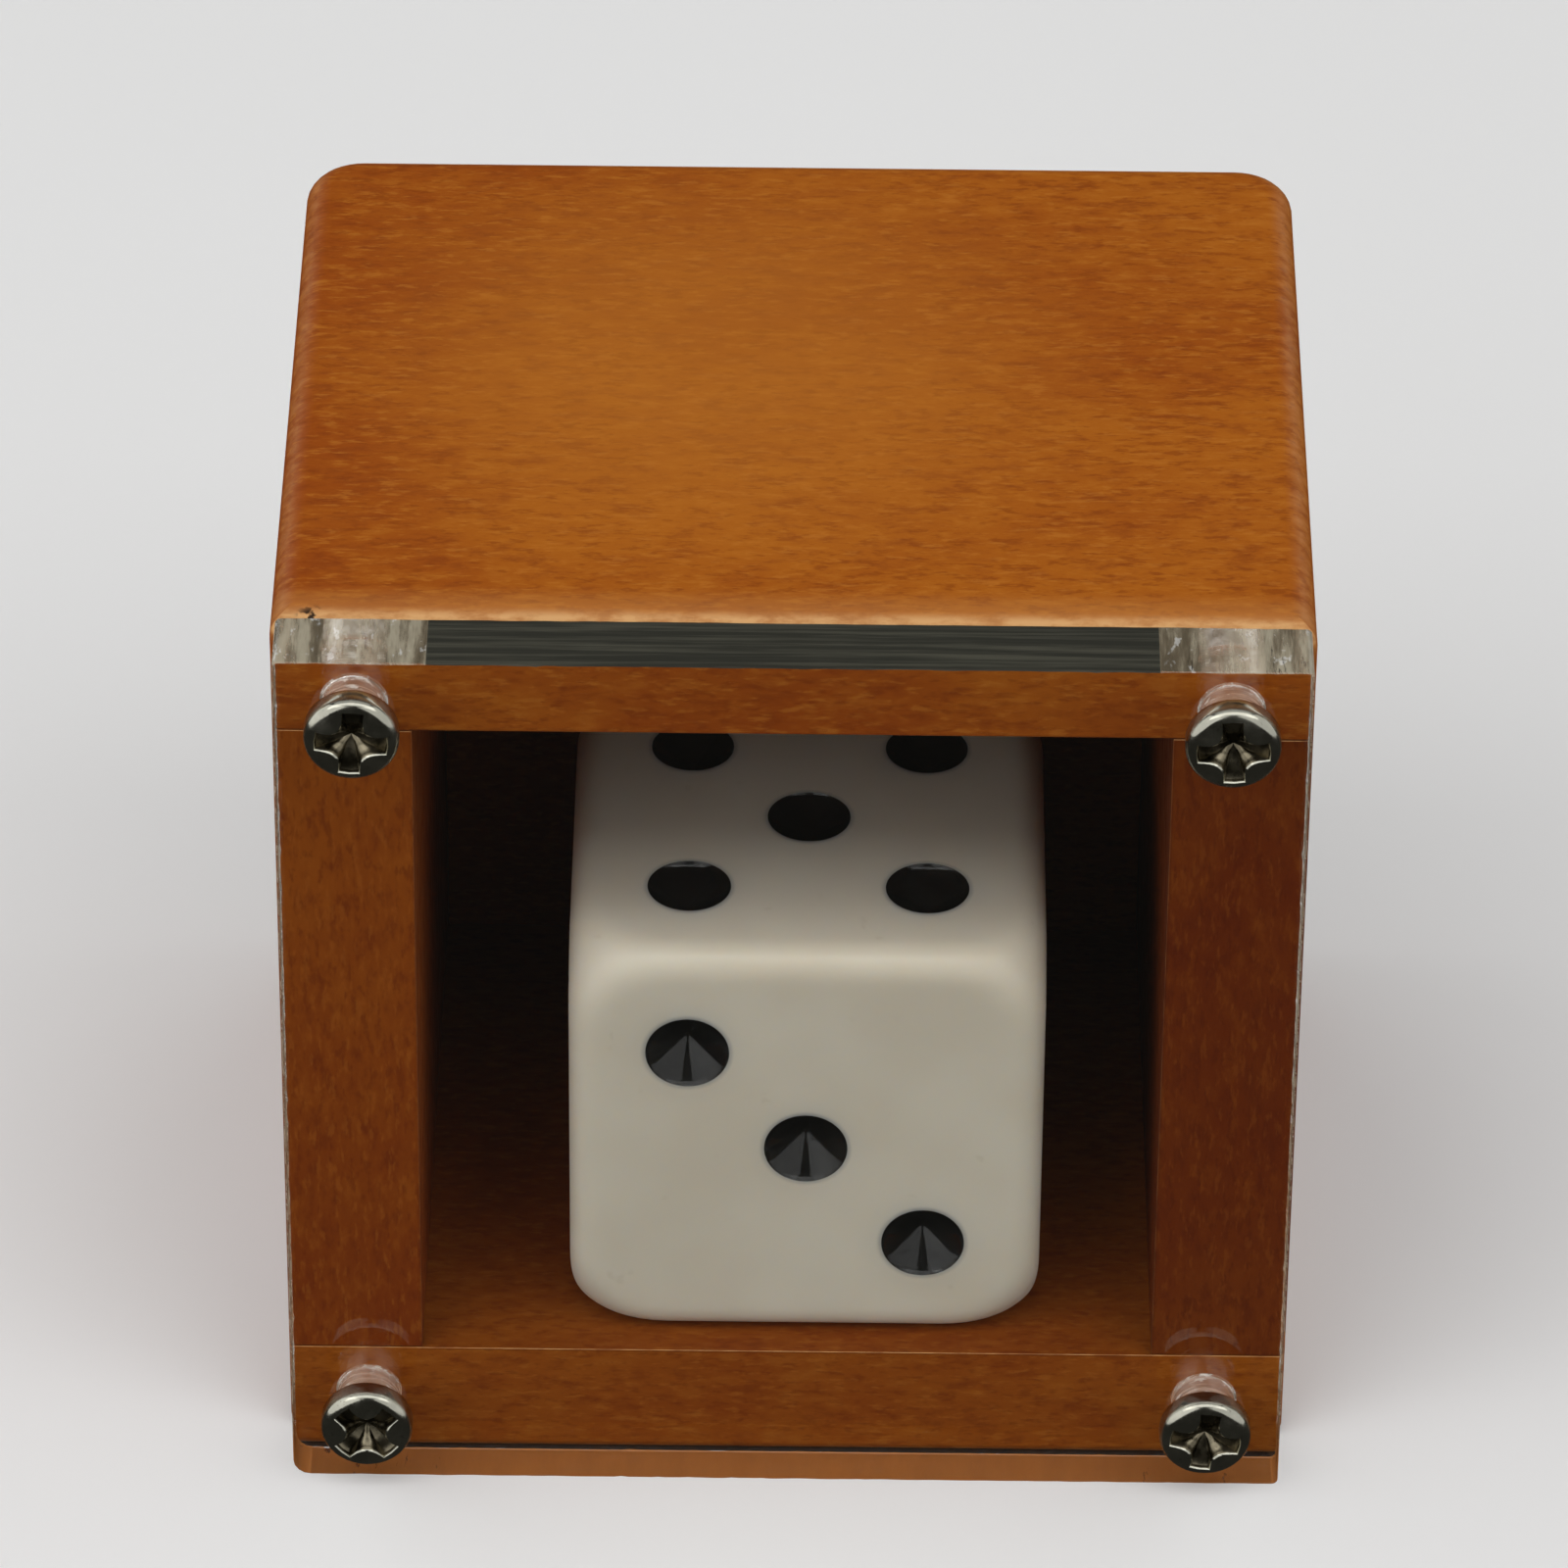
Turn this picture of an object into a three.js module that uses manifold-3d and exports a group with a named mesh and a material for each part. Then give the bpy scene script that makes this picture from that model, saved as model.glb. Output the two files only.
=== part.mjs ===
// A small wooden die box: five glued boards, a clear window held by four
// pan-head screws, and one loose die inside.
// Units are millimetres. +Z is up and the window faces -Y. The origin is the
// middle of the base, under the centre of the whole box.

import * as THREE from 'three';
import { mergeVertices } from 'three/addons/utils/BufferGeometryUtils.js';
import { RoundedBoxGeometry } from 'three/addons/geometries/RoundedBoxGeometry.js';
import Module from 'manifold-3d';

const wasm = await Module();
wasm.setup();

// ---------------------------------------------------------------- dimensions

const boxWidth = 40.5;
const boxHeight = 40.4;
const woodDepth = 33.55;

const topThickness = 4.45;
const bottomThickness = 5.25;
const sideThickness = 5.5;
const backThickness = 5;
const glueLine = 0.05;

const topFrontRadius = 1.2;
const topBackRadius = 1.3;
const bottomEdgeRadius = 0.5;
const longEdgeRadius = 1.1;
const frontCornerRadius = 0.4;
const backCornerRadius = 2.4;

const windowWidth = 40;
const windowThickness = 3;
const windowSeatGap = 0.05;
const windowCornerRadius = 0.25;
const windowWornCornerRadius = 0.7;
const windowHoleRadius = 1.25;

const screwInset = 3.05;
const screwHeadRadius = 1.9;
const screwHeadHeight = 1.25;
const screwHeadRim = 0.55;
const screwShankRadius = 1;
const screwShankLength = 8;
const screwTipLength = 1.6;
const recessSpan = 2.7;
const recessWidth = 0.7;
const recessDepth = 0.85;
const recessConeTopRadius = 0.75;
const recessConeTipRadius = 0.2;
const pilotHoleRadius = 1.15;
const pilotHoleDepth = 6.2;

const dieSize = 19;
const dieEdgeRadius = 1.2;
const dieCornerReach = 14.8;
const dieWindowGap = 1.15;
const dieOffsetX = 0.68;
const dieFloorGap = 0.05;
const pipRadius = 1.65;
const pipRimDepth = 0.1;
const pipTipRadius = 0.2;
const pipShoulderDepth = 1.22;
const pipDepth = 1.3;
const pipSpacing = 4.75;

// ------------------------------------------------------------ derived planes

const totalDepth = screwHeadHeight + windowThickness + windowSeatGap + woodDepth;
const windowFrontY = -totalDepth / 2 + screwHeadHeight;
const windowBackY = windowFrontY + windowThickness;
const woodFrontY = windowBackY + windowSeatGap;
const woodBackY = totalDepth / 2;
const halfWidth = boxWidth / 2;
const cavityHalfWidth = halfWidth - sideThickness;
const cavityFloorZ = bottomThickness;
const cavityCeilingZ = boxHeight - topThickness;
const screwX = windowWidth / 2 - screwInset;
const screwTopZ = boxHeight - screwInset;
const screwBottomZ = screwInset;

// ------------------------------------------------------------------- fineness

const arcSteps = 6;
const dieArcSteps = 4;
const dieCornerSides = 64;
const screwSides = 28;
const pilotHoleSides = 20;
const recessConeSides = 16;
const pipSides = 24;
const mergeTolerance = 1e-5;
const cutMargin = 1;

// ------------------------------------------------------------------ helpers

/** Turn a closed three.js geometry into a solid that can be cut and joined. */
function toSolid(geometry) {
  const bare = geometry.clone();
  bare.deleteAttribute('normal');
  bare.deleteAttribute('uv');
  const merged = mergeVertices(bare, mergeTolerance);
  return new wasm.Manifold(new wasm.Mesh({
    numProp: 3,
    vertProperties: new Float32Array(merged.attributes.position.array),
    triVerts: new Uint32Array(merged.index.array),
  }));
}

/** Turn a solid back into a three.js geometry. */
function toGeometry(solid) {
  const mesh = solid.getMesh();
  const geometry = new THREE.BufferGeometry();
  geometry.setAttribute('position', new THREE.BufferAttribute(mesh.vertProperties, 3));
  geometry.setIndex(new THREE.BufferAttribute(mesh.triVerts, 1));
  geometry.computeVertexNormals();
  return geometry;
}

/** A rectangle from (x0, y0) to (x1, y1) with its own radius at each corner. */
function roundedOutline(x0, y0, x1, y1, radii) {
  const { lowLeft, lowRight, highRight, highLeft } = radii;
  const outline = new THREE.Shape();
  outline.moveTo(x0 + lowLeft, y0);
  outline.lineTo(x1 - lowRight, y0);
  outline.absarc(x1 - lowRight, y0 + lowRight, lowRight, -Math.PI / 2, 0);
  outline.lineTo(x1, y1 - highRight);
  outline.absarc(x1 - highRight, y1 - highRight, highRight, 0, Math.PI / 2);
  outline.lineTo(x0 + highLeft, y1);
  outline.absarc(x0 + highLeft, y1 - highLeft, highLeft, Math.PI / 2, Math.PI);
  outline.lineTo(x0, y0 + lowLeft);
  outline.absarc(x0 + lowLeft, y0 + lowLeft, lowLeft, Math.PI, 1.5 * Math.PI);
  return outline;
}

/** Extrude an outline drawn in X and Y up from one height to another. */
function extrudeUp(outline, z0, z1) {
  const options = { depth: z1 - z0, bevelEnabled: false, curveSegments: arcSteps };
  return new THREE.ExtrudeGeometry(outline, options).translate(0, 0, z0);
}

/** Extrude an outline drawn in X and Z from y0 back to y1. */
function extrudeBack(outline, y0, y1) {
  const options = { depth: y1 - y0, bevelEnabled: false, curveSegments: arcSteps };
  return new THREE.ExtrudeGeometry(outline, options).rotateX(Math.PI / 2).translate(0, y1, 0);
}

/** Extrude an outline drawn in Y and Z from x0 across to x1. */
function extrudeAcross(outline, x0, x1) {
  const options = { depth: x1 - x0, bevelEnabled: false, curveSegments: arcSteps };
  const geometry = new THREE.ExtrudeGeometry(outline, options);
  return geometry.rotateX(Math.PI / 2).rotateZ(Math.PI / 2).translate(x0, 0, 0);
}

/** A plain block between two corners, as a solid. */
function block(low, high) {
  const size = high.map((value, axis) => value - low[axis]);
  const middle = high.map((value, axis) => (value + low[axis]) / 2);
  return toSolid(new THREE.BoxGeometry(...size).translate(...middle));
}

// ------------------------------------------------------------------ materials

const wood = { color: 0x96501a, roughness: 0.45, metalness: 0 };
const clear = { color: 0xe8eef0, roughness: 0.05, metalness: 0, transparent: true, opacity: 0.25 };
const nickel = { color: 0xb9b6a8, roughness: 0.25, metalness: 1 };
const ivory = { color: 0xe6e0d0, roughness: 0.2, metalness: 0 };

const group = new THREE.Group();

function addPiece(name, geometry, look) {
  const piece = new THREE.Mesh(geometry, new THREE.MeshStandardMaterial(look));
  piece.name = name;
  group.add(piece);
  return piece;
}

// --------------------------------------------------------------- wooden boards

/** The outer form of the glued box before it is divided into boards. */
function outerForm() {
  const plan = roundedOutline(-halfWidth, woodFrontY, halfWidth, woodBackY, {
    lowLeft: frontCornerRadius,
    lowRight: frontCornerRadius,
    highRight: backCornerRadius,
    highLeft: backCornerRadius,
  });
  const front = roundedOutline(-halfWidth, 0, halfWidth, boxHeight, {
    lowLeft: bottomEdgeRadius,
    lowRight: bottomEdgeRadius,
    highRight: longEdgeRadius,
    highLeft: longEdgeRadius,
  });
  const side = roundedOutline(woodFrontY, 0, woodBackY, boxHeight, {
    lowLeft: bottomEdgeRadius,
    lowRight: bottomEdgeRadius,
    highRight: topBackRadius,
    highLeft: topFrontRadius,
  });
  const upright = toSolid(extrudeUp(plan, -cutMargin, boxHeight + cutMargin));
  const lengthways = toSolid(extrudeBack(front, woodFrontY - cutMargin, woodBackY + cutMargin));
  const crossways = toSolid(extrudeAcross(side, -halfWidth - cutMargin, halfWidth + cutMargin));
  return upright.intersect(lengthways).intersect(crossways);
}

/** A blind hole for one screw, entering the front of a board. */
function pilotHole(x, z) {
  const hole = new THREE.CylinderGeometry(
    pilotHoleRadius, pilotHoleRadius, pilotHoleDepth + cutMargin, pilotHoleSides);
  const middleY = woodFrontY + (pilotHoleDepth - cutMargin) / 2;
  return toSolid(hole.translate(x, middleY, z));
}

const form = outerForm();
const outsideX = halfWidth + cutMargin;
const frontY = woodFrontY - cutMargin;
const rearY = woodBackY + cutMargin;
const sideLowZ = cavityFloorZ + glueLine;
const sideHighZ = cavityCeilingZ - glueLine;
const backHalfWidth = cavityHalfWidth - glueLine;
const backFrontY = woodBackY - backThickness;

const topBoard = form
  .intersect(block([-outsideX, frontY, cavityCeilingZ], [outsideX, rearY, boxHeight + cutMargin]))
  .subtract(pilotHole(-screwX, screwTopZ))
  .subtract(pilotHole(screwX, screwTopZ));
addPiece('top_board', toGeometry(topBoard), wood);

const bottomBoard = form
  .intersect(block([-outsideX, frontY, -cutMargin], [outsideX, rearY, cavityFloorZ]))
  .subtract(pilotHole(-screwX, screwBottomZ))
  .subtract(pilotHole(screwX, screwBottomZ));
addPiece('bottom_board', toGeometry(bottomBoard), wood);

const leftBoard = form
  .intersect(block([-outsideX, frontY, sideLowZ], [-cavityHalfWidth, rearY, sideHighZ]));
addPiece('left_board', toGeometry(leftBoard), wood);

const rightBoard = form
  .intersect(block([cavityHalfWidth, frontY, sideLowZ], [outsideX, rearY, sideHighZ]));
addPiece('right_board', toGeometry(rightBoard), wood);

const backBoard = form
  .intersect(block([-backHalfWidth, backFrontY, sideLowZ], [backHalfWidth, rearY, sideHighZ]));
addPiece('back_board', toGeometry(backBoard), wood);

// --------------------------------------------------------------- clear window

const windowCorners = {
  lowLeft: windowWornCornerRadius,
  lowRight: windowCornerRadius,
  highRight: windowCornerRadius,
  highLeft: windowCornerRadius,
};
const windowOutline = roundedOutline(-windowWidth / 2, 0, windowWidth / 2, boxHeight, windowCorners);
for (const x of [-screwX, screwX]) {
  for (const z of [screwBottomZ, screwTopZ]) {
    const hole = new THREE.Path();
    hole.absarc(x, z, windowHoleRadius, 0, 2 * Math.PI, true);
    windowOutline.holes.push(hole);
  }
}
const windowPlate = extrudeBack(windowOutline, windowFrontY, windowBackY);
addPiece('window_plate', windowPlate, clear);

// --------------------------------------------------------------------- screws

/** A pan-head screw along Y: the head lies at negative y, the tip points to +Y. */
function screwSolid() {
  const profile = [new THREE.Vector2(0, -screwHeadHeight)];
  for (let step = 1; step <= arcSteps; step += 1) {
    const angle = (step / arcSteps) * (Math.PI / 2);
    const rise = (screwHeadHeight - screwHeadRim) * Math.cos(angle);
    profile.push(new THREE.Vector2(screwHeadRadius * Math.sin(angle), -screwHeadRim - rise));
  }
  profile.push(new THREE.Vector2(screwHeadRadius, 0));
  profile.push(new THREE.Vector2(screwShankRadius, 0));
  profile.push(new THREE.Vector2(screwShankRadius, screwShankLength - screwTipLength));
  profile.push(new THREE.Vector2(0, screwShankLength));
  return toSolid(new THREE.LatheGeometry(profile, screwSides));
}

/** The cross recess in the head: two crossed slots over a small cone. */
function recessCutter() {
  const bottomY = -screwHeadHeight + recessDepth;
  const topY = -screwHeadHeight - cutMargin;
  const half = recessSpan / 2;
  const slotHalf = recessWidth / 2;
  const slotAcross = block([-half, topY, -slotHalf], [half, bottomY, slotHalf]);
  const slotUpright = block([-slotHalf, topY, -half], [slotHalf, bottomY, half]);
  const cone = new THREE.CylinderGeometry(
    recessConeTipRadius, recessConeTopRadius, recessDepth, recessConeSides);
  const flare = toSolid(cone.translate(0, bottomY - recessDepth / 2, 0));
  return slotAcross.add(slotUpright).add(flare);
}

const screwGeometry = toGeometry(screwSolid().subtract(recessCutter()));
const screws = [
  { name: 'screw_top_left', x: -screwX, z: screwTopZ, turnDegrees: 4 },
  { name: 'screw_top_right', x: screwX, z: screwTopZ, turnDegrees: -3 },
  { name: 'screw_bottom_left', x: -screwX, z: screwBottomZ, turnDegrees: 45 },
  { name: 'screw_bottom_right', x: screwX, z: screwBottomZ, turnDegrees: 8 },
];
for (const { name, x, z, turnDegrees } of screws) {
  const screw = addPiece(name, screwGeometry, nickel);
  screw.position.set(x, windowFrontY, z);
  screw.rotation.y = THREE.MathUtils.degToRad(turnDegrees);
}

// ------------------------------------------------------------------------ die

const pipPatterns = {
  1: [[0, 0]],
  2: [[-1, -1], [1, 1]],
  3: [[-1, 1], [0, 0], [1, -1]],
  4: [[-1, -1], [-1, 1], [1, -1], [1, 1]],
  5: [[-1, -1], [-1, 1], [1, -1], [1, 1], [0, 0]],
  6: [[-1, -1], [-1, 0], [-1, 1], [1, -1], [1, 0], [1, 1]],
};

// Each face has its outward normal and the two directions its pips are laid in.
const dieFaces = [
  { value: 3, normal: [0, -1, 0], right: [1, 0, 0], up: [0, 0, 1] },
  { value: 4, normal: [0, 1, 0], right: [-1, 0, 0], up: [0, 0, 1] },
  { value: 5, normal: [0, 0, 1], right: [1, 0, 0], up: [0, 1, 0] },
  { value: 2, normal: [0, 0, -1], right: [1, 0, 0], up: [0, -1, 0] },
  { value: 1, normal: [-1, 0, 0], right: [0, -1, 0], up: [0, 0, 1] },
  { value: 6, normal: [1, 0, 0], right: [0, 1, 0], up: [0, 0, 1] },
];

/** A drilled dish along Y: it opens at y = 0 and its point lies at +Y. */
function pipCutter() {
  const profile = [
    new THREE.Vector2(0, -cutMargin),
    new THREE.Vector2(pipRadius, -cutMargin),
    new THREE.Vector2(pipRadius, pipRimDepth),
    new THREE.Vector2(pipTipRadius, pipShoulderDepth),
    new THREE.Vector2(0, pipDepth),
  ];
  return new THREE.LatheGeometry(profile, pipSides);
}

/** A cube with rounded edges, corners kept inside a ball, and a drilled dish for every pip. */
function dieSolid() {
  const cube = new RoundedBoxGeometry(dieSize, dieSize, dieSize, dieArcSteps, dieEdgeRadius);
  const cutterAxis = new THREE.Vector3(0, 1, 0);
  const ball = new THREE.SphereGeometry(dieCornerReach, dieCornerSides, dieCornerSides / 2);
  let die = toSolid(cube).intersect(toSolid(ball));
  for (const { value, normal, right, up } of dieFaces) {
    const outward = new THREE.Vector3(...normal);
    const turn = new THREE.Quaternion().setFromUnitVectors(cutterAxis, outward.clone().negate());
    for (const [across, along] of pipPatterns[value]) {
      const centre = outward.clone().multiplyScalar(dieSize / 2);
      centre.addScaledVector(new THREE.Vector3(...right), across * pipSpacing);
      centre.addScaledVector(new THREE.Vector3(...up), along * pipSpacing);
      const dish = pipCutter().applyQuaternion(turn).translate(...centre);
      die = die.subtract(toSolid(dish));
    }
  }
  return die;
}

const die = addPiece('die', toGeometry(dieSolid()), ivory);
die.position.set(
  dieOffsetX,
  windowBackY + dieWindowGap + dieSize / 2,
  cavityFloorZ + dieFloorGap + dieSize / 2,
);

export default group;
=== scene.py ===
"""A small wooden die box: five glued boards, a clear window on four screws, one loose die."""

import math

import bmesh
import bpy
from mathutils import Euler, Matrix, Vector, noise


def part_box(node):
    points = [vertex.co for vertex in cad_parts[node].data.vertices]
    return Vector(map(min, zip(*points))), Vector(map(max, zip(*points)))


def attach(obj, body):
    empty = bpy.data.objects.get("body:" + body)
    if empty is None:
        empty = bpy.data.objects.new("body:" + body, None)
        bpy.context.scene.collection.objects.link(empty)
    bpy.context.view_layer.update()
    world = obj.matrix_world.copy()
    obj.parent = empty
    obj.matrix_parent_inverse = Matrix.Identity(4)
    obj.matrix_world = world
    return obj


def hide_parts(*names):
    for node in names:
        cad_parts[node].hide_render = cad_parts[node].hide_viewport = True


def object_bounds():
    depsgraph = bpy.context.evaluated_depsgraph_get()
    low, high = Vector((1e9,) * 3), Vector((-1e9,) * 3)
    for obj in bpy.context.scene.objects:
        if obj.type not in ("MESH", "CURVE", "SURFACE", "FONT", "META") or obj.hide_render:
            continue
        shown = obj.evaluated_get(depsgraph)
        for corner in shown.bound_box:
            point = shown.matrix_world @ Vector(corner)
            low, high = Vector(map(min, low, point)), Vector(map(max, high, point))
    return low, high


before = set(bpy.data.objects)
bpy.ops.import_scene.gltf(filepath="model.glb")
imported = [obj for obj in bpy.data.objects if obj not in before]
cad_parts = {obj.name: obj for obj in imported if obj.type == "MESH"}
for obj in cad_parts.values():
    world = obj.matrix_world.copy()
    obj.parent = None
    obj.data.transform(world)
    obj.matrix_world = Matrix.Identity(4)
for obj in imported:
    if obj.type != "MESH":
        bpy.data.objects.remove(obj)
cad_low, cad_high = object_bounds()

MM = 0.001
FULL_TURN = 2 * math.pi

# Radii of the boards' rounded edges, named after the faces that meet there.
TOP_FRONT_RADIUS = 1.2 * MM
TOP_BACK_RADIUS = 1.3 * MM
LONG_EDGE_RADIUS = 1.1 * MM
BOTTOM_EDGE_RADIUS = 0.5 * MM
FRONT_CORNER_RADIUS = 0.4 * MM
BACK_CORNER_RADIUS = 2.4 * MM
SEAM_RADIUS = 0.04 * MM

# How far a drilling cutter stands out of the face it enters.
CUTTER_OVERHANG = 1 * MM

PILOT_RADIUS = 1.1 * MM
PILOT_DEPTH = 6.0 * MM
PILOT_POINT = 0.6 * MM

SCREW_INSET = 3.05 * MM
WINDOW_HOLE_RADIUS = 1.25 * MM

PIP_RADIUS = 1.65 * MM
PIP_DEPTH = 1.3 * MM
PIP_RIM = 0.1 * MM
PIP_STEPS = 8
PIP_SPACING = 4.75 * MM


# ------------------------------------------------------------------ mesh helpers

def mesh_object(name, mesh):
    """Link a mesh into the scene as an object."""
    obj = bpy.data.objects.new(name, mesh)
    bpy.context.scene.collection.objects.link(obj)
    return obj


def bake_modifiers(obj):
    """Replace an object's mesh with the result of its modifiers."""
    depsgraph = bpy.context.evaluated_depsgraph_get()
    mesh = bpy.data.meshes.new_from_object(obj.evaluated_get(depsgraph))
    obj.modifiers.clear()
    obj.data = mesh


def cut(obj, cutters):
    """Cut every cutter out of obj. The cut faces take the cutter's material."""
    for cutter in cutters:
        step = obj.modifiers.new("cut", "BOOLEAN")
        step.operation = "DIFFERENCE"
        step.solver = "EXACT"
        step.material_mode = "TRANSFER"
        step.object = cutter
    bake_modifiers(obj)
    for cutter in cutters:
        bpy.data.objects.remove(cutter)


def smooth(obj, angle_degrees):
    """Shade smooth, with sharp edges past an angle and normals led by the large faces."""
    obj.data.shade_smooth()
    obj.data.set_sharp_from_angle(angle=math.radians(angle_degrees))
    weighted = obj.modifiers.new("normals", "WEIGHTED_NORMAL")
    weighted.keep_sharp = True
    weighted.weight = 100
    bake_modifiers(obj)


def ring_mesh(name, rings, material_of_row=None):
    """A closed mesh from rings of points. The first and last ring are single points.

    material_of_row gives the material index of each row of faces, counted from the first ring.
    """
    verts = [rings[0][0]]
    starts = []
    for ring in rings[1:-1]:
        starts.append(len(verts))
        verts.extend(ring)
    verts.append(rings[-1][0])
    count = len(rings[1])
    last = len(verts) - 1
    faces = []
    rows = []
    for i in range(count):
        j = (i + 1) % count
        faces.append((0, starts[0] + j, starts[0] + i))
        rows.append(0)
    for row, (a, b) in enumerate(zip(starts, starts[1:]), start=1):
        for i in range(count):
            j = (i + 1) % count
            faces.append((a + i, a + j, b + j, b + i))
            rows.append(row)
    for i in range(count):
        j = (i + 1) % count
        faces.append((starts[-1] + i, starts[-1] + j, last))
        rows.append(len(starts))
    mesh = bpy.data.meshes.new(name)
    mesh.from_pydata(verts, [], faces)
    if material_of_row:
        for polygon, row in zip(mesh.polygons, rows):
            polygon.material_index = material_of_row(row)
    return mesh


def turned(name, profile, segments, centre, material=None):
    """A solid of revolution about a line along Y, from (radius, y) points."""
    rings = []
    for radius, y in profile:
        if radius == 0:
            rings.append([Vector((centre[0], centre[1] + y, centre[2]))])
            continue
        ring = []
        for i in range(segments):
            angle = FULL_TURN * i / segments
            x = centre[0] + radius * math.cos(angle)
            z = centre[2] + radius * math.sin(angle)
            ring.append(Vector((x, centre[1] + y, z)))
        rings.append(ring)
    obj = mesh_object(name, ring_mesh(name, rings))
    face_outward(obj)
    if material:
        obj.data.materials.append(material)
    return obj


def face_outward(obj):
    """Make all face normals point out of a closed mesh."""
    bm = bmesh.new()
    bm.from_mesh(obj.data)
    bmesh.ops.recalc_face_normals(bm, faces=bm.faces)
    bm.to_mesh(obj.data)
    bm.free()


# A block's upright edges, anticlockwise from above, and the steps in each rounding.
CORNERS = (("left", "front"), ("right", "front"), ("right", "back"), ("left", "back"))
SMALLEST_CORNER = 0.03 * MM
ROUND_STEPS = 9


def block_ring(low, high, radii, default_radius, face, share):
    """One level of a rounded block: share 0 is at its side walls, 1 at its top or bottom face."""
    def radius_of(*faces):
        return radii.get(frozenset(faces), default_radius)

    turn = share * math.pi / 2
    ring = []
    for quarter, (side_x, side_y) in enumerate(CORNERS):
        inset_x = radius_of(face, side_x) * (1 - math.cos(turn))
        inset_y = radius_of(face, side_y) * (1 - math.cos(turn))
        corner = max(radius_of(side_x, side_y) - (inset_x + inset_y) / 2, SMALLEST_CORNER)
        x = low.x + inset_x + corner if side_x == "left" else high.x - inset_x - corner
        y = low.y + inset_y + corner if side_y == "front" else high.y - inset_y - corner
        first, last = (side_x, side_y) if quarter % 2 == 0 else (side_y, side_x)
        for step in range(ROUND_STEPS + 1):
            part = step / ROUND_STEPS
            angle = math.pi + (quarter + part) * math.pi / 2
            edge = radius_of(face, first) * (1 - part) + radius_of(face, last) * part
            drop = edge * (1 - math.sin(turn))
            z = high.z - drop if face == "top" else low.z + drop
            ring.append(Vector((x + corner * math.cos(angle), y + corner * math.sin(angle), z)))
    return ring


def rounded_block(name, low, high, radii, default_radius):
    """A block with rounded edges, each edge named by the two faces that meet there."""
    shares = [step / ROUND_STEPS for step in range(ROUND_STEPS + 1)]
    middle = (low + high) / 2
    rings = [[Vector((middle.x, middle.y, low.z))]]
    for face, order in (("bottom", shares[::-1]), ("top", shares)):
        rings += [block_ring(low, high, radii, default_radius, face, share) for share in order]
    rings.append([Vector((middle.x, middle.y, high.z))])
    block = mesh_object(name, ring_mesh(name, rings))
    face_outward(block)
    return block


# ------------------------------------------------------------------ node helpers

class Nodes:
    """Short calls for building a node tree."""

    def __init__(self, material):
        material.use_nodes = True
        self.tree = material.node_tree
        self.tree.nodes.clear()
        self.output = self.add("ShaderNodeOutputMaterial")

    def add(self, kind, **settings):
        node = self.tree.nodes.new(kind)
        for key, value in settings.items():
            setattr(node, key, value)
        return node

    def link(self, source, target):
        self.tree.links.new(source, target)

    def put(self, socket, value):
        if isinstance(value, bpy.types.NodeSocket):
            self.link(value, socket)
        else:
            socket.default_value = value

    def math(self, operation, a, b=0.0):
        node = self.add("ShaderNodeMath", operation=operation)
        self.put(node.inputs[0], a)
        self.put(node.inputs[1], b)
        return node.outputs[0]

    def weighted(self, first, second):
        """The sum of two values, each given with its weight."""
        return self.math("ADD", self.math("MULTIPLY", *first), self.math("MULTIPLY", *second))

    def object_point(self):
        return self.add("ShaderNodeTexCoord").outputs["Object"]

    def object_normal(self):
        return self.add("ShaderNodeTexCoord").outputs["Normal"]

    def scaled(self, point, scale, offset=(0, 0, 0)):
        node = self.add("ShaderNodeMapping")
        self.put(node.inputs["Vector"], point)
        node.inputs["Scale"].default_value = scale
        node.inputs["Location"].default_value = offset
        return node.outputs[0]

    def noise(self, point, scale=1.0, detail=2.0, roughness=0.5):
        node = self.add("ShaderNodeTexNoise")
        self.put(node.inputs["Vector"], point)
        node.inputs["Scale"].default_value = scale
        node.inputs["Detail"].default_value = detail
        node.inputs["Roughness"].default_value = roughness
        return node.outputs["Fac"]

    def span(self, value, low, high, to_low=0.0, to_high=1.0):
        """Map low..high of value smoothly to to_low..to_high."""
        node = self.add("ShaderNodeMapRange", interpolation_type="SMOOTHSTEP")
        self.put(node.inputs["Value"], value)
        node.inputs["From Min"].default_value = low
        node.inputs["From Max"].default_value = high
        node.inputs["To Min"].default_value = to_low
        node.inputs["To Max"].default_value = to_high
        return node.outputs["Result"]

    def mix(self, factor, a, b):
        node = self.add("ShaderNodeMix", data_type="RGBA")
        self.put(node.inputs["Factor"], factor)
        self.put(node.inputs["A"], a)
        self.put(node.inputs["B"], b)
        return node.outputs["Result"]

    def axis(self, vector, name):
        node = self.add("ShaderNodeSeparateXYZ")
        self.put(node.inputs[0], vector)
        return node.outputs[name]

    def distance_to(self, point, spot):
        node = self.add("ShaderNodeVectorMath", operation="DISTANCE")
        self.put(node.inputs[0], point)
        node.inputs[1].default_value = spot
        return node.outputs["Value"]

    def vector(self, x, y, z):
        node = self.add("ShaderNodeCombineXYZ")
        for socket, value in zip(node.inputs, (x, y, z)):
            self.put(socket, value)
        return node.outputs[0]

    def bump(self, height, distance, strength):
        node = self.add("ShaderNodeBump")
        self.put(node.inputs["Height"], height)
        node.inputs["Distance"].default_value = distance
        node.inputs["Strength"].default_value = strength
        return node.outputs["Normal"]

    def principled(self, **values):
        node = self.add("ShaderNodeBsdfPrincipled")
        for key, value in values.items():
            self.put(node.inputs[key.replace("_", " ")], value)
        return node

    def finish(self, surface):
        self.link(surface, self.output.inputs["Surface"])


def colour(r, g, b):
    return (r, g, b, 1.0)


def grey(level):
    return colour(level, level, level)


# ------------------------------------------------------------------ materials

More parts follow.
